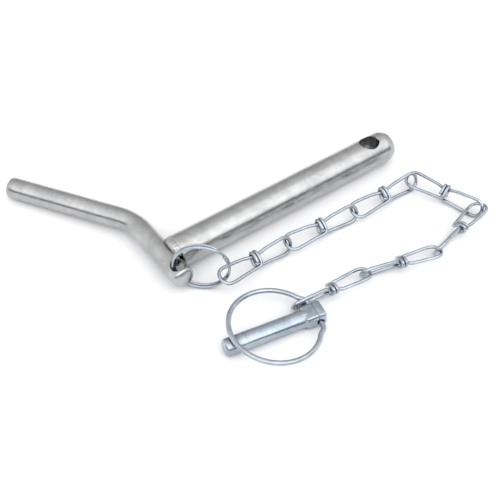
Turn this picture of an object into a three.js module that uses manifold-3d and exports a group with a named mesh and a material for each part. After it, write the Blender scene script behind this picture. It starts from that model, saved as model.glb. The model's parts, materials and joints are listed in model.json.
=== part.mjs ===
// Hitch pin lock: a forged drawbar pin with a welded, bent handle rod, tethered by a split ring and a
// knotted wire chain to a linch pin that locks the cross hole of the main pin.
// Millimetres, +Z up. The main pin lies along +X and the handle reaches towards +Y.

import * as THREE from "three";
import Module from "manifold-3d";
import { mergeVertices } from "three/addons/utils/BufferGeometryUtils.js";

const wasm = await Module();
wasm.setup();

// ---------- driving dimensions ----------

const GAP = 0.3; // clearance between pieces that touch on the real object
const UP = new THREE.Vector3(0, 0, 1);

const PIN = { radius: 11, length: 174, chamfer: 3.2, sides: 40 };
const CROSS_HOLE = { radius: 6.5, fromTip: 18, countersink: 1 };

// The handle rod: its lower and upper parts each side of the pin, and its bent handle.
const ROD = { radius: 7.1, lower: 22, upper: 38.4, handle: 92.5, chamfer: 1.2, sides: 24 };
const ROD_BEND = { angle: 32.8, reach: 11 };
const RING_HOLE = { radius: 4.9, fromEnd: 6.6, countersink: 0.6 };
// The handle plane leans down until the handle's end touches the ground that the pin lies on.
const ROD_LEAN = 1.9;

const WELD = { ringRadius: 8, radius: 2.9, inset: 1.4, fromMiddle: 3.5 };

const SPLIT_RING = { outerDiameter: 36, wire: 0.9, turns: 1.95, turnPitch: 2.1, start: 55 };
const SPLIT_RING_PLACE = { heading: -40, lean: 4, insert: 13.9 };

// A chain link of knotted wire: two loops, and a knot of two turns in the middle.
const CHAIN = { wire: 1.15, insideHalf: 26.4, loopHalf: 5.8, neckHalf: 4.1 };
const KNOT = { radius: 4.3, pitch: 2.4 };
const LOOP_ROLL = { upstream: 75, downstream: 22 }; // degrees from vertical, about the link's own length
const HINGE_HEIGHT = 6.7;
// One row for each link, from the split ring to the linch pin: heading on the ground, distance between
// its two hinge points, and how far its knot is from the first of them.
const LINK_ROUTE = [
  { heading: 3, reach: 49, knot: 22.8 },
  { heading: -3, reach: 51.9, knot: 25.8 },
  { heading: 0, reach: 52.2, knot: 26.1 },
  { heading: -71, reach: 47, knot: 22.4 },
  { heading: -166, reach: 48, knot: 22 },
  { heading: 166, reach: 51.2, knot: 25.6 },
  { heading: 175, reach: 41, knot: 24 },
];
const RING_HOOK = -24; // degrees round the split ring, where the first link hangs

const LINCH = { radius: 5.5, shank: 50.5, chamfer: 1.2, heading: -10.5, sides: 28 };
const LINCH_HEAD = { length: 13.3, width: 13, height: 10.4, cornerCut: 3, edge: 0.8, holeRadius: 1.95 };
const SNAP_RING = { wire: 1.6, radius: 27.4, insertDepth: 3.2, stub: 11.2, bendAngle: 33 };
const LINCH_HINGE = LINCH.shank + 9.2; // from the linch pin's tip to the snap ring's hinge line
const LINK_SEAT = 10.6; // from the linch pin's axis to the chain link that hangs on the snap ring

const FINISH = {
  pin: { color: 0xb9bbbb, roughness: 0.38, metalness: 0.9 },
  weld: { color: 0x8e9090, roughness: 0.6, metalness: 0.8 },
  wire: { color: 0xb4bcc6, roughness: 0.28, metalness: 0.95 },
};

// ---------- helpers ----------

const radians = THREE.MathUtils.degToRad;

function material(name) {
  return new THREE.MeshStandardMaterial(FINISH[name]);
}

// A direction on the ground, turned from +X by an angle in degrees.
function along(heading) {
  return new THREE.Vector3(Math.cos(radians(heading)), Math.sin(radians(heading)), 0);
}

// A closed three.js geometry as a manifold solid, for joining and cutting.
function solid(geometry) {
  const bare = geometry.index ? geometry.toNonIndexed() : geometry.clone();
  bare.deleteAttribute("normal");
  bare.deleteAttribute("uv");
  const merged = mergeVertices(bare, 1e-4);
  return new wasm.Manifold(
    new wasm.Mesh({
      numProp: 3,
      vertProperties: new Float32Array(merged.attributes.position.array),
      triVerts: new Uint32Array(merged.index.array),
    }),
  );
}

// The geometry of a manifold solid.
function geometryOf(shape) {
  const mesh = shape.getMesh();
  const geometry = new THREE.BufferGeometry();
  geometry.setAttribute("position", new THREE.BufferAttribute(new Float32Array(mesh.vertProperties), 3));
  geometry.setIndex(new THREE.BufferAttribute(new Uint32Array(mesh.triVerts), 1));
  geometry.computeVertexNormals();
  return geometry;
}

function piece(name, shape, finish) {
  const mesh = new THREE.Mesh(geometryOf(shape), material(finish));
  mesh.name = name;
  return mesh;
}

function regularSection(radius, sides) {
  const corners = [];
  for (let i = 0; i < sides; i++) {
    const angle = (2 * Math.PI * i) / sides;
    corners.push(new THREE.Vector2(radius * Math.cos(angle), radius * Math.sin(angle)));
  }
  return new THREE.Shape(corners);
}

// A round wire along a curve.
function wire(curve, radius, sides, steps) {
  const section = regularSection(radius, sides);
  return solid(new THREE.ExtrudeGeometry(section, { steps, extrudePath: curve, bevelEnabled: false }));
}

// A round bar along +X from x = 0, with a chamfer at either end.
function bar(radius, length, startChamfer, endChamfer, sides) {
  const profile = [
    new THREE.Vector2(0, 0),
    new THREE.Vector2(radius - startChamfer, 0),
    new THREE.Vector2(radius, startChamfer),
    new THREE.Vector2(radius, length - endChamfer),
    new THREE.Vector2(radius - endChamfer, length),
    new THREE.Vector2(0, length),
  ];
  const corners = profile.filter((point, i) => i === 0 || point.distanceTo(profile[i - 1]) > 0);
  const geometry = new THREE.LatheGeometry(corners, sides);
  geometry.rotateZ(-Math.PI / 2);
  return solid(geometry);
}

// A drill through a bar, along Z, with a countersink where it meets the bar's surface.
function drill(radius, barRadius, countersink, sides) {
  const flare = countersink * 2;
  const profile = [
    [0, -barRadius - 1],
    [radius + flare, -barRadius - 1],
    [radius + countersink, -barRadius + countersink * 0.4],
    [radius, -barRadius + countersink * 1.6],
    [radius, barRadius - countersink * 1.6],
    [radius + countersink, barRadius - countersink * 0.4],
    [radius + flare, barRadius + 1],
    [0, barRadius + 1],
  ].map(([r, z]) => new THREE.Vector2(r, z));
  const geometry = new THREE.LatheGeometry(profile, sides);
  geometry.rotateX(Math.PI / 2);
  return solid(geometry);
}

function points(list) {
  return list.map(([x, y, z]) => new THREE.Vector3(x, y, z));
}

// ---------- main pin and handle ----------

const pinStart = ROD.radius + GAP;
const pinEnd = pinStart + PIN.length;

function mainPin() {
  const shank = bar(PIN.radius, PIN.length, 0.6, PIN.chamfer, PIN.sides).translate([pinStart, 0, 0]);
  const hole = drill(CROSS_HOLE.radius, PIN.radius, CROSS_HOLE.countersink, 32);
  const bored = shank.subtract(hole.translate([pinEnd - CROSS_HOLE.fromTip, 0, 0]));
  return piece("main_pin", bored, "pin");
}

// The handle rod's centre line lies in the XY plane: along +Y past the pin, then bent towards -X.
function rodSolid(radius) {
  const away = along(90 + ROD_BEND.angle);
  const corner = new THREE.Vector3(0, ROD.upper, 0);
  const start = new THREE.Vector3(0, ROD.chamfer - ROD.lower, 0);
  const bendStart = new THREE.Vector3(0, ROD.upper - ROD_BEND.reach, 0);
  const bendEnd = corner.clone().addScaledVector(away, ROD_BEND.reach);
  const end = corner.clone().addScaledVector(away, ROD.handle - ROD.chamfer);
  const path = new THREE.CurvePath();
  path.add(new THREE.LineCurve3(start, bendStart));
  path.add(new THREE.QuadraticBezierCurve3(bendStart, corner, bendEnd));
  path.add(new THREE.LineCurve3(bendEnd, end));
  return wire(path, radius, ROD.sides, 26)
    .add(rodEnd(radius).rotate([0, 0, -90]).translate(start.toArray()))
    .add(rodEnd(radius).rotate([0, 0, 90 + ROD_BEND.angle]).translate(end.toArray()));
}

// The chamfered last slice of a rod, towards +X, with a narrower root that sits inside the rod.
function rodEnd(radius) {
  const profile = [
    new THREE.Vector2(0, -2),
    new THREE.Vector2(radius - 1, -2),
    new THREE.Vector2(radius, 0),
    new THREE.Vector2(radius - ROD.chamfer, ROD.chamfer),
    new THREE.Vector2(0, ROD.chamfer),
  ];
  const geometry = new THREE.LatheGeometry(profile, ROD.sides);
  geometry.rotateZ(-Math.PI / 2);
  return solid(geometry);
}

function handleRod() {
  const hole = drill(RING_HOLE.radius, ROD.radius, RING_HOLE.countersink, 28);
  const rod = rodSolid(ROD.radius).subtract(hole.translate([0, RING_HOLE.fromEnd - ROD.lower, 0]));
  return piece("handle_rod", rod, "pin");
}

// The welds fill the two wedges between the end of the pin and the side of the rod: one above, one below.
function weldBead(name, side) {
  const ring = new THREE.TorusGeometry(WELD.ringRadius, WELD.radius, 14, 40);
  ring.rotateY(Math.PI / 2);
  ring.translate(ROD.radius - WELD.inset, 0, 0);
  const pinRoom = bar(PIN.radius + GAP, PIN.length, 0, 0, PIN.sides).translate([pinStart - GAP, 0, 0]);
  const bead = solid(ring)
    .trimByPlane([0, 0, side], WELD.fromMiddle)
    .subtract(pinRoom)
    .subtract(rodSolid(ROD.radius + GAP));
  return piece(name, bead, "weld");
}

// ---------- split ring ----------

const ringHolePlace = new THREE.Vector3(0, RING_HOLE.fromEnd - ROD.lower, 0)
  .applyAxisAngle(new THREE.Vector3(1, 0, 0), -radians(ROD_LEAN))
  .add(new THREE.Vector3(0, 0, PIN.radius));
const splitRadius = SPLIT_RING.outerDiameter / 2 - SPLIT_RING.wire;
const splitAcross = along(SPLIT_RING_PLACE.heading);
const splitBack = along(SPLIT_RING_PLACE.heading + 90);
const splitRise = UP.clone()
  .multiplyScalar(Math.cos(radians(SPLIT_RING_PLACE.lean)))
  .addScaledVector(splitBack, Math.sin(radians(SPLIT_RING_PLACE.lean)));
const splitAxis = splitAcross.clone().cross(splitRise);
const splitCentre = ringHolePlace.clone().addScaledVector(splitAcross, SPLIT_RING_PLACE.insert);
splitCentre.z = splitRadius * splitRise.z + SPLIT_RING.wire * 1.4;
const splitLift = splitCentre.z - ringHolePlace.z;
splitCentre.addScaledVector(splitBack, splitLift * Math.tan(radians(SPLIT_RING_PLACE.lean)));

// A point of the split ring's middle circle, by its angle from the side away from the rod.
function onSplitRing(angle) {
  return splitCentre
    .clone()
    .addScaledVector(splitAcross, splitRadius * Math.cos(angle))
    .addScaledVector(splitRise, splitRadius * Math.sin(angle));
}

class SplitRingCurve extends THREE.Curve {
  getPoint(t, target = new THREE.Vector3()) {
    const turn = SPLIT_RING.turns * t;
    const angle = radians(SPLIT_RING.start) + 2 * Math.PI * turn;
    const shift = (turn - SPLIT_RING.turns / 2) * SPLIT_RING.turnPitch;
    return target.copy(onSplitRing(angle)).addScaledVector(splitAxis, shift);
  }
}

function splitRing() {
  return piece("split_ring", wire(new SplitRingCurve(), SPLIT_RING.wire, 9, 72), "wire");
}

// ---------- chain ----------

// Half of a link in its own frame: a loop from the knot at x = 0 out to x = insideHalf + wire, in the XZ
// plane.
function linkLoop() {
  const tip = CHAIN.insideHalf + CHAIN.wire;
  const shoulder = tip - CHAIN.loopHalf * 1.15;
  const path = new THREE.CurvePath();
  const [a, b, c, d, e, f, g, h, i] = points([
    [0, 0, CHAIN.neckHalf],
    [shoulder, 0, CHAIN.loopHalf],
    [shoulder + CHAIN.loopHalf * 0.6, 0, CHAIN.loopHalf],
    [tip, 0, CHAIN.loopHalf * 0.62],
    [tip, 0, 0],
    [tip, 0, -CHAIN.loopHalf * 0.62],
    [shoulder + CHAIN.loopHalf * 0.6, 0, -CHAIN.loopHalf],
    [shoulder, 0, -CHAIN.loopHalf],
    [0, 0, -CHAIN.neckHalf],
  ]);
  path.add(new THREE.LineCurve3(a, b));
  path.add(new THREE.CubicBezierCurve3(b, c, d, e));
  path.add(new THREE.CubicBezierCurve3(e, f, g, h));
  path.add(new THREE.LineCurve3(h, i));
  return wire(path, CHAIN.wire, 8, 22);
}

// The knot in the middle of a link: two turns of wire side by side round its necks.
function linkKnot() {
  const core = bar(KNOT.radius, KNOT.pitch, 0, 0, 16).translate([-KNOT.pitch / 2, 0, 0]);
  const turns = [-1, 1].map((side) => {
    const turn = new THREE.TorusGeometry(KNOT.radius, CHAIN.wire, 8, 16);
    turn.rotateY(Math.PI / 2);
    turn.translate((side * KNOT.pitch) / 2, 0, 0);
    return solid(turn);
  });
  return core.add(turns[0]).add(turns[1]);
}

function linkSolid() {
  const upstream = linkLoop().rotate([0, 0, 180]).rotate([-LOOP_ROLL.upstream, 0, 0]);
  const downstream = linkLoop().rotate([-LOOP_ROLL.downstream, 0, 0]);
  return linkKnot().add(upstream).add(downstream);
}

// ---------- linch pin ----------

function linchPin() {
  const shank = bar(LINCH.radius, LINCH.shank + 2, LINCH.chamfer, 0, LINCH.sides);
  const { length, width, height, cornerCut, edge } = LINCH_HEAD;
  const half = width / 2 - edge;
  const outline = new THREE.Shape([
    new THREE.Vector2(edge, -half),
    new THREE.Vector2(length - edge - cornerCut, -half),
    new THREE.Vector2(length - edge, -half + cornerCut),
    new THREE.Vector2(length - edge, half - cornerCut),
    new THREE.Vector2(length - edge - cornerCut, half),
    new THREE.Vector2(edge, half),
  ]);
  const block = new THREE.ExtrudeGeometry(outline, {
    depth: height - 2 * edge,
    bevelThickness: edge,
    bevelSize: edge,
    bevelSegments: 2,
  });
  block.translate(LINCH.shank, 0, edge - height / 2);
  const eye = new THREE.CylinderGeometry(LINCH_HEAD.holeRadius, LINCH_HEAD.holeRadius, width * 2, 20);
  eye.translate(LINCH_HINGE, 0, 0);
  return piece("linch_pin", shank.add(solid(block)).subtract(solid(eye)), "wire");
}

// The snap ring in the linch pin's frame, open at the head, where both of its ends turn in along the
// hinge line.
function snapRing() {
  const { insertDepth, stub, radius, bendAngle } = SNAP_RING;
  const arcSteps = 26;
  // One end, from inside the head's eye out to where the round part starts.
  const end = [
    [LINCH_HINGE, insertDepth],
    [LINCH_HINGE, stub - 4.2],
    [LINCH_HINGE - 0.2, stub - 1.2],
    [LINCH_HINGE - 1.1, stub + 0.7],
    [LINCH_HINGE - 2.5, stub + 2],
  ];
  const route = end.map(([x, y]) => [x, y, 0]);
  for (let i = 0; i <= arcSteps; i++) {
    const angle = radians(bendAngle + ((360 - 2 * bendAngle) * i) / arcSteps);
    route.push([LINCH_HINGE - radius + radius * Math.cos(angle), radius * Math.sin(angle), 0]);
  }
  for (const [x, y] of end.reverse()) {
    route.push([x, -y, 0]);
  }
  const curve = new THREE.CatmullRomCurve3(points(route), false, "centripetal");
  return piece("linch_ring", wire(curve, SNAP_RING.wire, 10, 64), "wire");
}

// ---------- assembly ----------

const assembly = new THREE.Group();

const pinGroup = new THREE.Group();
pinGroup.position.z = PIN.radius;
pinGroup.rotation.x = -radians(ROD_LEAN);
pinGroup.add(mainPin(), handleRod(), weldBead("weld_top", 1), weldBead("weld_bottom", -1));
assembly.add(pinGroup);

assembly.add(splitRing());

// The chain: each link runs straight between its two hinge points.
let hinge = onSplitRing(radians(RING_HOOK));
LINK_ROUTE.forEach(({ heading, reach, knot }, i) => {
  const drop = HINGE_HEIGHT - hinge.z;
  const flat = Math.sqrt(reach * reach - drop * drop);
  const next = hinge.clone().addScaledVector(along(heading), flat);
  next.z = HINGE_HEIGHT;
  const direction = next.clone().sub(hinge).normalize();
  const left = UP.clone().cross(direction).normalize();
  const link = piece("chain_link_" + (i + 1), linkSolid(), "wire");
  link.quaternion.setFromRotationMatrix(
    new THREE.Matrix4().makeBasis(direction, left, direction.clone().cross(left)),
  );
  link.position.copy(hinge).addScaledVector(direction, knot);
  assembly.add(link);
  hinge = next;
});

// The linch pin lies beside the end of the chain, with its snap ring's hinge line through the last link.
const linchGroup = new THREE.Group();
const seat = new THREE.Vector3(LINCH_HINGE, LINK_SEAT, 0).applyAxisAngle(UP, radians(LINCH.heading));
linchGroup.position.set(hinge.x - seat.x, hinge.y - seat.y, LINCH.radius);
linchGroup.rotation.z = radians(LINCH.heading);
const ringSwing = Math.asin((LINCH.radius + SNAP_RING.wire + GAP) / (2 * SNAP_RING.radius));
const snap = snapRing();
const snapGroup = new THREE.Group();
snapGroup.position.x = LINCH_HINGE;
snapGroup.rotation.y = ringSwing;
snap.position.x = -LINCH_HINGE;
snapGroup.add(snap);
linchGroup.add(linchPin(), snapGroup);
assembly.add(linchGroup);

// The origin is at the middle of the whole part's footprint, on the ground.
const object = new THREE.Group();
object.add(assembly);
object.updateMatrixWorld(true);
const box = new THREE.Box3().setFromObject(object, true);
assembly.position.set(-(box.min.x + box.max.x) / 2, -(box.min.y + box.max.y) / 2, -box.min.z);

export default object;
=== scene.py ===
"""Looks of the hitch pin lock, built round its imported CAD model.

Lengths are millimetres in the pieces' own frames, and metres once a piece is placed.
"""

import json
import math
import random

import bpy
from mathutils import Matrix, Vector


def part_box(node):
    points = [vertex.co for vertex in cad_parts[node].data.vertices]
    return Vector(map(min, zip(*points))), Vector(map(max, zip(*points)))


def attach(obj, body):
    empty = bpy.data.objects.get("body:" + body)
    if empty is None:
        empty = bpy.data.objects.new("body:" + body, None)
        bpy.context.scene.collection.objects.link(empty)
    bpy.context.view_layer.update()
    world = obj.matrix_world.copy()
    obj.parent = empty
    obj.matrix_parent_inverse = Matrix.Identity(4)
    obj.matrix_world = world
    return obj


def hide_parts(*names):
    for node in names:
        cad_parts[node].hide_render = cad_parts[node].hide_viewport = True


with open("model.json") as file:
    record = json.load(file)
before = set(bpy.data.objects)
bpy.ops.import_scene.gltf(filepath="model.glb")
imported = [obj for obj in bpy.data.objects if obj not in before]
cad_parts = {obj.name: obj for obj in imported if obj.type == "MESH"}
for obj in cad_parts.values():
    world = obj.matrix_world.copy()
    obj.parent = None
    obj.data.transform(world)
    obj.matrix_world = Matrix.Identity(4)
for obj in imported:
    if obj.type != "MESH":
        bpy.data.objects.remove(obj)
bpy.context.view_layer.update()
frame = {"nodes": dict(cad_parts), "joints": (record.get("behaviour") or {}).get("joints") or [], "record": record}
record = frame["record"]

MM = 0.001
UP = Vector((0, 0, 1))
NEAR_AXIS = 0.001

# ---------- dimensions of the finer pieces, in millimetres and degrees ----------

PIN_RADIUS = 11.0
PIN_EDGE = 0.7
PIN_TIP_ROUNDING = ((6.5, 0.0), (2.2, 1.6), (0.0, 4.2))
HOLE_RADIUS = 6.5
HOLE_FROM_TIP = 18.0
HOLE_FLARE = 1.1

ROD_RADIUS = 7.1
ROD_GAP = 0.05
ROD_LOWER = 22.0
ROD_BEND_REACH = 11.0
RING_HOLE_RADIUS = 4.9
RING_HOLE_FROM_END = 6.9
RING_HOLE_FLARE = 0.6
ROD_THINNING = 0.22
ROD_CHAMFER = 1.5

WELD_RING = 7.4
WELD_RADIUS = 3.3
WELD_X = 6.3
WELD_REACH = 66.0
WELD_SEED = 7

SPLIT_RADIUS = 17.1
SPLIT_WIRE = 0.9
SPLIT_HEADING = -40.0
SPLIT_LEAN = 4.0
SPLIT_TURNS = 1.95
SPLIT_START = 55.0
SPLIT_STEP = 0.14

LINK_WIRE = 1.15
LINK_TIP = 27.55
# A loop's leg: how far along the link, and how far out from its axis.
LINK_LEG = ((8.5, 4.9), (14, 5.3), (20, 5.75), (23.4, 5.6), (25.9, 4.3), (27.2, 2.2))
UPSTREAM_ROLL = 75.0
DOWNSTREAM_ROLL = 22.0
KNOT_LONG = 5.6
KNOT_SHORT = 2.9
KNOT_HALF_PITCH = 1.2
KNOT_GAP = 34.0
KNOT_TAIL = 22.0
KNOT_STEPS = 18
LINK_COUNT = 7

LINCH_RADIUS = 5.5
LINCH_SHANK = 50.5
LINCH_CHAMFER = 1.3
SHANK_IN_HEAD = 3.0
LINCH_HINGE = 59.7
HEAD_WIDTH = 13.0
# Two corners of the head's eight-sided section, and its scale at each distance past the shank.
HEAD_QUARTER = [(5.1, 5.15), (6.5, 2.5)]
HEAD_BODY = (
    (-0.6, 0.74), (-0.1, 0.8), (1.1, 0.96), (1.4, 0.99), (1.9, 1.0), (8.0, 1.0), (8.4, 0.95),
    (8.8, 0.95), (9.2, 1.01), (9.7, 1.04), (12.0, 1.04), (12.8, 1.01), (13.2, 0.94), (13.3, 0.84),
)
EYE_RADIUS = 1.95
EYE_FLARE = 0.5
SNAP_WIRE = 1.6
SNAP_RADIUS = 27.4
SNAP_BEND = 33.0
# The wire's end, from inside the eye to its round part: how far it is from the hinge line, and along it.
SNAP_END = ((0, 3.2), (0, 5.0), (0, 7.0), (0.2, 10.0), (1.1, 11.9), (2.5, 13.2))
SNAP_CLEARANCE = 0.3
LINK_SEAT = 10.6

# ---------- the view and the light, in metres and degrees ----------

CAMERA_TARGET = Vector((-0.01866, -0.02163, 0.0))
CAMERA_AZIMUTH = math.radians(-35.33)
CAMERA_ELEVATION = math.radians(48.62)
CAMERA_DISTANCE = 0.5888
CAMERA_LENS = 66.24
CAMERA_SENSOR = 36.0

FLOOR_HALF = 20.0
FLOOR_COLOUR = (0.9, 0.9, 0.91, 1)
KEY_PLACE = Vector((0.34, -0.5, 0.95))
KEY_SIZE = (1.2, 0.9)
KEY_POWER = 1.2
TENT_NEAR_SIDE = (-0.47, -0.88)
TENT_DIM = 0.52
TENT_BRIGHT = 2.1
TENT_STRENGTH = 1.05
BAND_COLOUR = (0.33, 0.335, 0.345)


# ---------- node materials ----------


def make_node(tree, kind, inputs=(), **settings):
    made = tree.nodes.new("ShaderNode" + kind)
    for key, value in settings.items():
        setattr(made, key, value)
    for key, value in dict(inputs).items():
        if isinstance(value, bpy.types.NodeSocket):
            tree.links.new(value, made.inputs[key])
        else:
            made.inputs[key].default_value = value
    return made


def mapped(tree, source, scale):
    return make_node(tree, "Mapping", {"Vector": source, "Scale": scale}).outputs[0]


def noise(tree, vector, scale, detail, roughness, distortion=0.0):
    return make_node(
        tree,
        "TexNoise",
        {
            "Vector": vector,
            "Scale": scale,
            "Detail": detail,
            "Roughness": roughness,
            "Distortion": distortion,
        },
    ).outputs["Fac"]


def remap(tree, value, low, high, to_low, to_high):
    return make_node(
        tree,
        "MapRange",
        {"Value": value, "From Min": low, "From Max": high, "To Min": to_low, "To Max": to_high},
    ).outputs[0]


def blend_colour(tree, factor, one, two):
    made = make_node(tree, "Mix", data_type="RGBA", clamp_factor=True)
    for index, value in ((0, factor), (6, one), (7, two)):
        if isinstance(value, bpy.types.NodeSocket):
            tree.links.new(value, made.inputs[index])
        else:
            made.inputs[index].default_value = value if index == 0 else (*value, 1.0)
    return made.outputs[2]


def plated(name, light, dark, stain, rough, drawn=0.0, grain=0.0, rings=0.0, painted_shade_strength=0.5):
    """Zinc plating over metal: cloudy colour, faint stains, lines along a bar, and painted shade that darkens its
    hollows.

    rough is the lowest and highest roughness. drawn is the height of the lines along a bar, grain that of a
    pitted skin, rings that of turning marks, and the last argument sets how strongly the hollows get painted
    shade.
    """
    made = bpy.data.materials.new(name)
    made.use_nodes = True
    tree = made.node_tree
    shader = tree.nodes["Principled BSDF"]
    shader.inputs["Metallic"].default_value = 1.0
    coordinates = make_node(tree, "TexCoord")
    place, lengthwise = coordinates.outputs["Object"], coordinates.outputs["UV"]

    clouds = noise(tree, place, scale=95.0, detail=5.0, roughness=0.6, distortion=0.4)
    speckle = noise(tree, place, scale=900.0, detail=3.0, roughness=0.7)
    stains = noise(tree, place, scale=38.0, detail=6.0, roughness=0.65, distortion=1.2)
    stretched = mapped(tree, lengthwise, (0.035, 2.2, 1.0))
    lines = noise(tree, stretched, scale=1.0, detail=4.0, roughness=0.65)
    stretched = mapped(tree, lengthwise, (0.12, 1.1, 1.0))
    scratches = noise(tree, stretched, scale=2.6, detail=2.0, roughness=0.4, distortion=0.8)
    scratch = remap(tree, scratches, 0.66, 0.7, 0.0, 1.0)
    turning = make_node(
        tree,
        "TexWave",
        {"Vector": place, "Scale": 260.0, "Distortion": 1.5},
        bands_direction="Z",
    ).outputs["Fac"]

    colour = blend_colour(tree, remap(tree, clouds, 0.35, 0.65, 0.0, 1.0), light, dark)
    colour = blend_colour(tree, remap(tree, stains, 0.56, 0.74, 0.0, 0.6), colour, stain)
    if drawn:
        colour = blend_colour(tree, remap(tree, lines, 0.5, 0.72, 0.0, 0.35), colour, dark)
    # Painted shade: ambient occlusion darkens the colour towards a dark tone, a quarter of the stain colour, in
    # hollows and creases such as the knots and welds.
    hollow = make_node(tree, "AmbientOcclusion", {"Distance": 0.004}, samples=6)
    shade = remap(tree, hollow.outputs["AO"], 0.25, 0.95, 1.0, 0.0)
    painted_shade_amount = make_node(tree, "Math", {0: shade, 1: painted_shade_strength}, operation="MULTIPLY").outputs[0]
    colour = blend_colour(tree, painted_shade_amount, colour, tuple(0.25 * c for c in stain))
    tree.links.new(colour, shader.inputs["Base Color"])

    texture = make_node(tree, "Math", {0: clouds, 1: speckle}, operation="ADD").outputs[0]
    texture = make_node(tree, "Math", {0: texture, 1: lines}, operation="ADD").outputs[0]
    roughness = remap(tree, texture, 1.1, 1.9, rough[0], rough[1])
    roughness = make_node(
        tree, "Math", {0: roughness, 1: scratch, 2: 0.12}, operation="MULTIPLY_ADD"
    )
    tree.links.new(roughness.outputs[0], shader.inputs["Roughness"])

    normal = None
    for height, distance, strength in (
        (lines, 0.00012, drawn),
        (speckle, 0.00010, grain),
        (clouds, 0.00050, 0.18),
        (turning, 0.00015, rings),
    ):
        if strength:
            bump = make_node(
                tree, "Bump", {"Height": height, "Distance": distance, "Strength": strength}
            )
            if normal:
                tree.links.new(normal, bump.inputs["Normal"])
            normal = bump.outputs[0]
    tree.links.new(normal, shader.inputs["Normal"])
    return made


BAR_ZINC = plated(
    "bar_zinc", (0.5, 0.502, 0.5), (0.4, 0.405, 0.41), (0.3, 0.3, 0.29),
    (0.3, 0.42), drawn=0.6, grain=0.35,
)
BORE_ZINC = plated(
    "bore_zinc", (0.61, 0.61, 0.63), (0.41, 0.42, 0.44), (0.31, 0.31, 0.31),
    (0.3, 0.5), grain=0.3, rings=0.9, painted_shade_strength=0.8,
)
WELD_ZINC = plated(
    "weld_zinc", (0.56, 0.56, 0.56), (0.38, 0.38, 0.385), (0.27, 0.265, 0.25),
    (0.36, 0.54), grain=0.8, painted_shade_strength=0.3,
)
WIRE_ZINC = plated(
    "wire_zinc", (0.47, 0.525, 0.585), (0.37, 0.405, 0.45), (0.27, 0.3, 0.34),
    (0.34, 0.48), drawn=0.3, grain=0.15, painted_shade_strength=0.85,
)
LINCH_ZINC = plated(
    "linch_zinc", (0.46, 0.52, 0.58), (0.33, 0.38, 0.435), (0.24, 0.28, 0.325),
    (0.28, 0.4), drawn=0.35, grain=0.3, painted_shade_strength=0.8,
)


# ---------- mesh helpers ----------


def finish_piece(name, mesh, matrix, body, materials, node, sharp=38.0):
    """Places a mesh that is in millimetres, and ties it to its CAD body and node."""
    mesh.transform(matrix @ Matrix.Scale(MM, 4))
    if matrix.determinant() < 0:
        mesh.flip_normals()
    mesh.polygons.foreach_set("use_smooth", [True] * len(mesh.polygons))
    mesh.set_sharp_from_angle(angle=math.radians(sharp))
    mesh.materials.clear()
    for made in materials:
        mesh.materials.append(made)
    piece = bpy.data.objects.new(name, mesh)
    bpy.context.scene.collection.objects.link(piece)
    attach(piece, body)
    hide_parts(node)


def mesh_from_rings(name, rings, steps, round_step):
    """A closed mesh through rings of points, capped at both ends.

    Its UV runs along the rings in millimetres, and round them.
    """
    sides = len(rings[0])
    points = [point for ring in rings for point in ring]
    faces, uvs = [], []
    for i in range(len(rings) - 1):
        for j in range(sides):
            k = (j + 1) % sides
            faces.append((i * sides + j, i * sides + k, (i + 1) * sides + k, (i + 1) * sides + j))
            low, high = j * round_step, (j + 1) * round_step
            uvs.append(((steps[i], low), (steps[i], high), (steps[i + 1], high), (steps[i + 1], low)))
    last = (len(rings) - 1) * sides
    faces.append(tuple(reversed(range(sides))))
    faces.append(tuple(range(last, last + sides)))
    for ring in (list(reversed(rings[0])), rings[-1]):
        uvs.append(tuple((0.3 * point[1], 0.3 * point[2]) for point in ring))
    mesh = bpy.data.meshes.new(name)
    mesh.from_pydata(points, [], faces)
    layer = mesh.uv_layers.new(name="along")
    flat = [value for face in uvs for pair in face for value in pair]
    layer.data.foreach_set("uv", flat)
    mesh.update()
    return mesh


def spline(points, spacing):
    """Points a set distance apart on a smooth curve through the given ones."""
    guide = [points[0] * 2 - points[1], *points, points[-1] * 2 - points[-2]]
    dense = []
    for p, q, r, s in zip(guide, guide[1:], guide[2:], guide[3:]):
        knots = [0.0]
        for one, two in ((p, q), (q, r), (r, s)):
            knots.append(knots[-1] + max((two - one).length, 1e-6) ** 0.5)
        t0, t1, t2, t3 = knots
        count = max(2, int((r - q).length / spacing * 3))
        for i in range(count):
            t = t1 + (t2 - t1) * i / count
            a1 = p * ((t1 - t) / (t1 - t0)) + q * ((t - t0) / (t1 - t0))
            a2 = q * ((t2 - t) / (t2 - t1)) + r * ((t - t1) / (t2 - t1))
            a3 = r * ((t3 - t) / (t3 - t2)) + s * ((t - t2) / (t3 - t2))
            b1 = a1 * ((t2 - t) / (t2 - t0)) + a2 * ((t - t0) / (t2 - t0))
            b2 = a2 * ((t3 - t) / (t3 - t1)) + a3 * ((t - t1) / (t3 - t1))
            dense.append(b1 * ((t2 - t) / (t2 - t1)) + b2 * ((t - t1) / (t2 - t1)))
    dense.append(points[-1])
    total = sum((two - one).length for one, two in zip(dense, dense[1:]))
    count = max(2, round(total / spacing))
    result, walked, index = [dense[0]], 0.0, 0
    for i in range(1, count):
        goal = total * i / count
        while walked + (dense[index + 1] - dense[index]).length < goal:
            walked += (dense[index + 1] - dense[index]).length
            index += 1
        step = dense[index + 1] - dense[index]
        result.append(dense[index] + step * ((goal - walked) / step.length))
    result.append(dense[-1])
    return result


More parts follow.
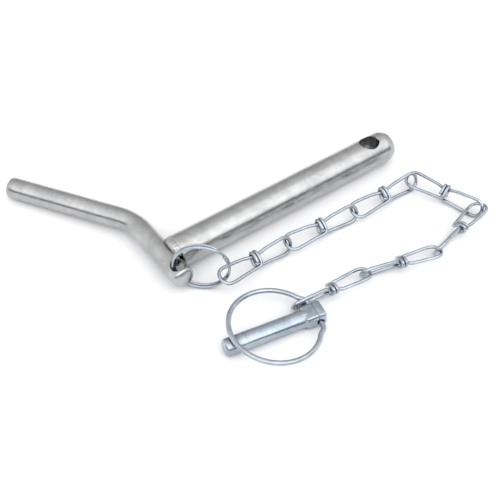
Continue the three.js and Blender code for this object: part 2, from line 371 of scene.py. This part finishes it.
def tube(name, centres, radius, sides, chamfer, swell=None):
    """A round wire or bar along a line of points, with chamfered ends.

    swell, if given, is a function from the share of the way along to the radius there.
    """
    directions = []
    for i in range(len(centres)):
        before, after = centres[max(i - 1, 0)], centres[min(i + 1, len(centres) - 1)]
        directions.append((after - before).normalized())
    side = directions[0].cross(UP if abs(directions[0].z) < 0.9 else Vector((0, 1, 0))).normalized()
    rings, steps, walked = [], [], 0.0

    def add_ring(centre, direction, size, step):
        across = direction.cross(side)
        ring = []
        for j in range(sides):
            angle = 2 * math.pi * j / sides
            ring.append(centre + side * (size * math.cos(angle)) + across * (size * math.sin(angle)))
        rings.append(ring)
        steps.append(step)

    ends = ((0.0, 1.0), (0.35, 0.55), (0.7, 0.2), (1.0, 0.0))
    for i, (centre, direction) in enumerate(zip(centres, directions)):
        side = (side - direction * side.dot(direction)).normalized()
        size = swell(i / (len(centres) - 1)) if swell else radius
        if i:
            walked += (centre - centres[i - 1]).length
        if i == 0:
            for depth, drop in ends:
                inset = depth * chamfer
                add_ring(centre + direction * inset, direction, size - drop * chamfer, inset)
        elif i == len(centres) - 1:
            for depth, drop in reversed(ends):
                inset = depth * chamfer
                add_ring(centre - direction * inset, direction, size - drop * chamfer, walked - inset)
        elif chamfer < walked and i < len(centres) - 2:
            add_ring(centre, direction, size, walked)
    return mesh_from_rings(name, rings, steps, 2 * math.pi * radius / sides)


def filleted(corners, radius, steps=4):
    """An outline in a plane, as (x, r) pairs, with each corner between its ends rounded."""
    result = [Vector(corners[0])]
    for before, corner, after in zip(corners, corners[1:], corners[2:]):
        back, ahead = Vector(before) - Vector(corner), Vector(after) - Vector(corner)
        reach = min(radius, back.length * 0.45, ahead.length * 0.45)
        start = Vector(corner) + back.normalized() * reach
        end = Vector(corner) + ahead.normalized() * reach
        for i in range(steps + 1):
            t = i / steps
            result.append(start * (1 - t) ** 2 + Vector(corner) * 2 * t * (1 - t) + end * t * t)
    result.append(Vector(corners[-1]))
    return result


def lathe(name, profile, sides, radius):
    """A turned bar along +X from (x, r) pairs. Both of its ends are flat faces."""
    rings, steps = [], []
    for x, r in profile:
        angles = [2 * math.pi * j / sides for j in range(sides)]
        rings.append([Vector((x, r * math.cos(a), r * math.sin(a))) for a in angles])
        steps.append(x)
    return mesh_from_rings(name, rings, steps, 2 * math.pi * radius / sides)


def combined(mesh, other, matrix, operation, material_index=0):
    """Cuts one mesh by another, or joins them. The other's faces take the given material slot.

    The two materials given here only make the slots: finish_piece puts the piece's own ones in them.
    """
    other.transform(matrix)
    mesh.materials.clear()
    other.materials.clear()
    for target in (mesh, other):
        target.materials.append(BAR_ZINC)
        target.materials.append(BORE_ZINC)
    other.polygons.foreach_set("material_index", [material_index] * len(other.polygons))
    base = bpy.data.objects.new("base", mesh)
    tool = bpy.data.objects.new("tool", other)
    for item in (base, tool):
        bpy.context.scene.collection.objects.link(item)
    modifier = base.modifiers.new("shape", "BOOLEAN")
    modifier.object = tool
    modifier.operation = operation
    modifier.solver = "EXACT"
    graph = bpy.context.evaluated_depsgraph_get()
    result = bpy.data.meshes.new_from_object(base.evaluated_get(graph))
    for item in (base, tool):
        bpy.data.objects.remove(item)
    return result


def drill(radius, bar_radius, flare):
    """A drill along +X with a rounded countersink at both mouths, to cut a bar with."""
    reach = bar_radius + 1.5
    profile = [
        (-reach, radius + flare * 1.9),
        (-bar_radius + flare * 0.1, radius + flare * 0.75),
        (-bar_radius + flare * 1.6, radius),
        (bar_radius - flare * 1.6, radius),
        (bar_radius - flare * 0.1, radius + flare * 0.75),
        (reach, radius + flare * 1.9),
    ]
    return lathe("drill", filleted(profile, flare * 0.9), 64, radius)


def along(heading):
    """A level direction, from its angle round +Z in degrees."""
    return Vector((math.cos(math.radians(heading)), math.sin(math.radians(heading)), 0))


def turned(axis, degrees):
    return Matrix.Rotation(math.radians(degrees), 4, axis)


def basis(x, y, z, origin):
    matrix = Matrix((x, y, z)).transposed().to_4x4()
    matrix.translation = origin
    return matrix


# ---------- where the pieces are ----------

mounts = {mount["name"]: mount for mount in record["mounts"]}
joints = {joint["name"]: joint for joint in frame["joints"]}
tip = Vector(mounts["pin_tip_face"]["pos_m"])
rod_end = Vector(mounts["rod_lower_face"]["pos_m"])
rod_up = -Vector(mounts["rod_lower_face"]["axis"]).normalized()
handle_end = Vector(mounts["handle_end_face"]["pos_m"])
crossing = rod_end + rod_up * (ROD_LOWER * MM)
pin_way = (tip - crossing).normalized()
pin_frame = basis(pin_way, rod_up, pin_way.cross(rod_up), crossing)
pin_length = (tip - crossing).length / MM
handle_tip = pin_frame.inverted() @ handle_end / MM
handle_way = (pin_frame.inverted().to_3x3() @ Vector(mounts["handle_end_face"]["axis"])).normalized()

# ---------- camera ----------

back = Vector(
    (
        math.sin(CAMERA_AZIMUTH) * math.cos(CAMERA_ELEVATION),
        -math.cos(CAMERA_AZIMUTH) * math.cos(CAMERA_ELEVATION),
        math.sin(CAMERA_ELEVATION),
    )
)
lens = bpy.data.cameras.new("camera")
lens.sensor_width = CAMERA_SENSOR
lens.lens = CAMERA_LENS
camera = bpy.data.objects.new("camera", lens)
camera.location = CAMERA_TARGET + back * CAMERA_DISTANCE
camera.rotation_euler = (-back).to_track_quat("-Z", "Y").to_euler()
bpy.context.scene.collection.objects.link(camera)
bpy.context.scene.camera = camera

# ---------- main pin ----------

start = ROD_RADIUS + ROD_GAP
profile = filleted(
    [
        (start, NEAR_AXIS),
        (start, PIN_RADIUS - PIN_EDGE),
        (start + PIN_EDGE, PIN_RADIUS),
        *((pin_length - depth, PIN_RADIUS - drop) for depth, drop in PIN_TIP_ROUNDING),
        (pin_length, NEAR_AXIS),
    ],
    1.0,
    5,
)
pin_mesh = combined(
    lathe("main_pin_bar", profile[1:-1], 96, PIN_RADIUS),
    drill(HOLE_RADIUS, PIN_RADIUS, HOLE_FLARE),
    Matrix.Translation((pin_length - HOLE_FROM_TIP, 0, 0)) @ turned("Y", -90),
    "DIFFERENCE",
    1,
)
finish_piece(
    "main_pin_bar", pin_mesh, pin_frame, "root", [BAR_ZINC, BORE_ZINC], "main_pin"
)

# ---------- handle rod ----------

corner_height = handle_tip.y - handle_way.y * (handle_tip.x / handle_way.x)
corner = Vector((0, corner_height, 0))
bend_start = corner - Vector((0, ROD_BEND_REACH, 0))
bend_end = corner + handle_way * ROD_BEND_REACH
rod_foot = Vector((0, -ROD_LOWER, 0))
rod_line = [rod_foot + (bend_start - rod_foot) * (i / 24) for i in range(24)]
for i in range(25):
    t = i / 24
    rod_line.append(bend_start * (1 - t) ** 2 + corner * 2 * t * (1 - t) + bend_end * t * t)
rod_line += [bend_end + (handle_tip - bend_end) * (i / 30) for i in range(1, 31)]
bend_middle = 24 + 12
bend_share = bend_middle / (len(rod_line) - 1)


def rod_size(share):
    """The bar is drawn a little thinner where it is bent."""
    return ROD_RADIUS - ROD_THINNING * math.exp(-(((share - bend_share) / 0.12) ** 2))


rod_mesh = combined(
    tube("handle_rod_bar", rod_line, ROD_RADIUS, 64, ROD_CHAMFER, rod_size),
    drill(RING_HOLE_RADIUS, ROD_RADIUS, RING_HOLE_FLARE),
    Matrix.Translation((0, RING_HOLE_FROM_END - ROD_LOWER, 0)) @ turned("Y", -90),
    "DIFFERENCE",
    1,
)
finish_piece(
    "handle_rod_bar", rod_mesh, pin_frame, "root", [BAR_ZINC, BORE_ZINC], "handle_rod"
)

# ---------- welds ----------

random.seed(WELD_SEED)


def weld(name, node, side):
    """A bead with the ripples of its passes, along the end of the pin."""
    steps = 90
    middle = Vector((WELD_X, 0, 0))
    line = []
    for i in range(steps + 1):
        angle = math.radians(WELD_REACH * (2 * i / steps - 1))
        line.append(middle + Vector((0, math.sin(angle), side * math.cos(angle))) * WELD_RING)

    def bead(share):
        ripple = 0.2 * abs(math.sin(share * math.pi * 8.5)) ** 0.6
        shoulder = min(1.0, 3.5 * min(share, 1 - share) + 0.45)
        return (WELD_RADIUS + ripple) * shoulder

    mesh = tube(name, line, WELD_RADIUS, 28, 0.8, bead)
    lumps = [Vector([random.uniform(-9, 9) for _ in range(3)]) for _ in range(30)]
    for vertex in mesh.vertices:
        core = middle + Vector((0, vertex.co.y, vertex.co.z)).normalized() * WELD_RING
        out = (vertex.co - core).normalized()
        swell = sum(math.exp(-((vertex.co - lump).length_squared) / 3.0) for lump in lumps)
        vertex.co += out * min(0.35 * swell, 0.4)
    finish_piece(name, mesh, pin_frame, "root", [WELD_ZINC], node, 60.0)


weld("weld_bead_top", "weld_top", 1)
weld("weld_bead_bottom", "weld_bottom", -1)

# ---------- split ring ----------

low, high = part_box("split_ring")
across, behind = along(SPLIT_HEADING), along(SPLIT_HEADING + 90)
rise = UP * math.cos(math.radians(SPLIT_LEAN)) + behind * math.sin(math.radians(SPLIT_LEAN))
split_frame = basis(across, rise, across.cross(rise), (low + high) / 2)
split_line = []
split_steps = 190
for i in range(split_steps + 1):
    turn = SPLIT_TURNS * i / split_steps
    angle = math.radians(SPLIT_START) + 2 * math.pi * turn
    crossed = min(max((turn - SPLIT_TURNS / 2) / SPLIT_STEP + 0.5, 0), 1)
    shift = (crossed * crossed * (3 - 2 * crossed) - 0.5) * SPLIT_WIRE * 2.1
    split_line.append(Vector((SPLIT_RADIUS * math.cos(angle), SPLIT_RADIUS * math.sin(angle), shift)))
finish_piece(
    "split_ring_wire", tube("split_ring_wire", split_line, SPLIT_WIRE, 14, 0.25),
    split_frame, "split_ring", [WIRE_ZINC], "split_ring", 50.0,
)

# ---------- chain ----------


def radial(angle, radius, x):
    """A point at an angle in degrees round the link's own axis."""
    return Vector((x, radius * math.sin(math.radians(angle)), radius * math.cos(math.radians(angle))))


def loop_points(side, roll, start_turn):
    """One loop of a link, out along one leg and back along the other.

    side is -1 upstream and 1 downstream.
    """
    outward = [radial(roll + start_turn, spread, side * x) for x, spread in LINK_LEG]
    homeward = [radial(roll + start_turn + 180, spread, side * x) for x, spread in reversed(LINK_LEG)]
    return [*outward, Vector((side * LINK_TIP, 0, 0)), *homeward]


def knot_turn(angle, x):
    """A point of the oval that the wire makes round the necks."""
    lean = math.radians(angle - (UPSTREAM_ROLL + DOWNSTREAM_ROLL) / 2)
    radius = KNOT_LONG * KNOT_SHORT / math.hypot(KNOT_SHORT * math.cos(lean), KNOT_LONG * math.sin(lean))
    return radial(angle, radius, x)


def link_line():
    """The single wire of a link, from end to end.

    It makes a turn round the neck, one loop, a straight run through the knot, the other loop and a
    second turn. Each turn leaves room for the leg that passes it.
    """
    upstream_leg, downstream_leg = UPSTREAM_ROLL + 180, DOWNSTREAM_ROLL + 180
    line = []
    first, last = downstream_leg + 360 - KNOT_GAP, upstream_leg + KNOT_TAIL
    for i in range(KNOT_STEPS + 1):
        line.append(knot_turn(first + (last - first) * i / KNOT_STEPS, KNOT_HALF_PITCH))
    line.append(knot_turn(upstream_leg + 3, 0.0))
    line.append(radial(upstream_leg, 4.6, -2.6))
    line += loop_points(-1, UPSTREAM_ROLL, 180)
    line.append(radial(UPSTREAM_ROLL, 4.3, -5.2))
    line.append(radial(UPSTREAM_ROLL - 10, 3.4, -2.5))
    line.append(radial((UPSTREAM_ROLL + DOWNSTREAM_ROLL) / 2, 3.2, 0.0))
    line.append(radial(DOWNSTREAM_ROLL + 10, 3.4, 2.5))
    line.append(radial(DOWNSTREAM_ROLL, 4.3, 5.2))
    line += loop_points(1, DOWNSTREAM_ROLL, 0)
    line.append(radial(downstream_leg, 4.6, 2.6))
    line.append(knot_turn(downstream_leg - 3, 0.0))
    first, last = downstream_leg - KNOT_TAIL, upstream_leg - 360 + KNOT_GAP
    for i in range(KNOT_STEPS + 1):
        line.append(knot_turn(first + (last - first) * i / KNOT_STEPS, -KNOT_HALF_PITCH))
    return spline(line, 0.7)


link_joints = [joint for joint in frame["joints"] if joint["child"].startswith("link_")]
hinge_line = joints["linch_pin_on_link_7"]
hinge_axis = Vector(hinge_line["axis"]).normalized()
ends = [Vector(joint["pos_m"]) for joint in link_joints]
last_end = Vector(hinge_line["pos_m"]) + hinge_axis * (LINK_SEAT * MM)
last_end.z = ends[-1].z
ends.append(last_end)
link_shape = link_line()
for number in range(1, LINK_COUNT + 1):
    name, node = "link_wire_%d" % number, "chain_link_%d" % number
    vertices = frame["nodes"][node].data.vertices
    centre = sum((vertex.co for vertex in vertices), Vector()) / len(vertices)
    way = (ends[number] - ends[number - 1]).normalized()
    left = UP.cross(way).normalized()
    finish_piece(
        name, tube(name, link_shape, LINK_WIRE, 14, 0.3), basis(way, left, way.cross(left), centre),
        "link_%d" % number, [WIRE_ZINC], node, 50.0,
    )

# ---------- linch pin ----------

linch_way = hinge_axis.cross(UP)
linch_frame = basis(
    linch_way, hinge_axis, UP, Vector(hinge_line["pos_m"]) - linch_way * (LINCH_HINGE * MM)
)
shank_profile = filleted(
    [
        (0, NEAR_AXIS),
        (0, LINCH_RADIUS - LINCH_CHAMFER),
        (LINCH_CHAMFER, LINCH_RADIUS),
        (LINCH_SHANK + SHANK_IN_HEAD, LINCH_RADIUS),
        (LINCH_SHANK + SHANK_IN_HEAD, NEAR_AXIS),
    ],
    0.7,
)
shank = lathe("linch_shank", shank_profile[1:-1], 64, LINCH_RADIUS)


def head_block():
    """The forged head: an eight-sided body that grows out of a neck, and a wider rim at its far end."""
    section = HEAD_QUARTER + [(y, -z) for y, z in reversed(HEAD_QUARTER)]
    section += [(-y, -z) for y, z in section[:2]] + [(-y, z) for y, z in reversed(HEAD_QUARTER)]
    top = (0.0, HEAD_QUARTER[0][1])
    rounded = filleted([top, *section, top], 0.8, 3)[1:]
    rings = []
    for x, scale in HEAD_BODY:
        rings.append([Vector((LINCH_SHANK + x, scale * y, scale * z)) for y, z in rounded])
    return mesh_from_rings("head", rings, [x for x, _ in HEAD_BODY], 0.6)


linch_mesh = combined(shank, head_block(), Matrix.Identity(4), "UNION")
linch_mesh = combined(
    linch_mesh, drill(EYE_RADIUS, HEAD_WIDTH / 2, EYE_FLARE),
    Matrix.Translation((LINCH_HINGE, 0, 0)) @ turned("Z", 90), "DIFFERENCE", 1,
)
finish_piece(
    "linch_pin_forging", linch_mesh, linch_frame, "linch_pin",
    [LINCH_ZINC, BORE_ZINC], "linch_pin", 30.0,
)

# ---------- snap ring ----------

snap_end = [Vector((LINCH_HINGE - inward, y, 0)) for inward, y in SNAP_END]
snap_middle = Vector((LINCH_HINGE - SNAP_RADIUS, 0, 0))
snap_points = list(snap_end)
for i in range(41):
    snap_points.append(snap_middle + along(SNAP_BEND + (360 - 2 * SNAP_BEND) * i / 40) * SNAP_RADIUS)
snap_points += [Vector((point.x, -point.y, 0)) for point in reversed(snap_end)]
swing = math.asin((LINCH_RADIUS + SNAP_WIRE + SNAP_CLEARANCE) / (2 * SNAP_RADIUS))
to_hinge = Matrix.Translation((LINCH_HINGE * MM, 0, 0))
snap_frame = linch_frame @ to_hinge @ Matrix.Rotation(swing, 4, "Y") @ to_hinge.inverted()
finish_piece(
    "snap_ring_wire", tube("snap_ring_wire", spline(snap_points, 1.2), SNAP_WIRE, 24, 0.4),
    snap_frame, "linch_ring", [WIRE_ZINC], "linch_ring", 50.0,
)

# ---------- floor and light ----------

floor_mesh = bpy.data.meshes.new("floor")
floor_corners = [(FLOOR_HALF * x, FLOOR_HALF * y, 0) for x, y in ((-1, -1), (1, -1), (1, 1), (-1, 1))]
floor_mesh.from_pydata(floor_corners, [], [(0, 1, 2, 3)])
floor = bpy.data.objects.new("floor", floor_mesh)
bpy.context.scene.collection.objects.link(floor)
paper = bpy.data.materials.new("paper")
paper.use_nodes = True
paper_shader = paper.node_tree.nodes["Principled BSDF"]
paper_shader.inputs["Base Color"].default_value = FLOOR_COLOUR
paper_shader.inputs["Roughness"].default_value = 0.9
floor_mesh.materials.append(paper)

key_light = bpy.data.lights.new("key", "AREA")
key_light.shape = "RECTANGLE"
key_light.size, key_light.size_y = KEY_SIZE
key_light.energy = KEY_POWER
key = bpy.data.objects.new("key", key_light)
key.location = KEY_PLACE
key.rotation_euler = (-KEY_PLACE).to_track_quat("-Z", "Y").to_euler()
bpy.context.scene.collection.objects.link(key)

world = bpy.data.worlds.new("tent")
world.use_nodes = True
bpy.context.scene.world = world
tree = world.node_tree
direction = make_node(tree, "TexCoord").outputs["Generated"]
parts = make_node(tree, "SeparateXYZ", {0: direction}).outputs
# The tent is dim behind the object and brightens steadily towards its near side.
near_x, near_y = TENT_NEAR_SIDE
nearness = make_node(tree, "Math", {0: parts["X"], 1: near_x}, operation="MULTIPLY").outputs[0]
nearness = make_node(
    tree, "Math", {0: parts["Y"], 1: near_y, 2: nearness}, operation="MULTIPLY_ADD"
).outputs[0]
tent = remap(tree, nearness, -1.0, 0.95, TENT_DIM, TENT_BRIGHT)
# Its near side stops short of the ground and leaves a dark band.
above_band = remap(tree, parts["Z"], 0.28, 0.42, 0.0, 1.0)
far_side = remap(tree, nearness, 0.25, -0.05, 0.0, 1.0)
lit = make_node(tree, "Math", {0: above_band, 1: far_side}, operation="MAXIMUM").outputs[0]
sky = blend_colour(tree, lit, BAND_COLOUR, tent)
tree.links.new(sky, tree.nodes["Background"].inputs["Color"])
tree.nodes["Background"].inputs["Strength"].default_value = TENT_STRENGTH
bpy.context.scene.view_settings.view_transform = "Standard"
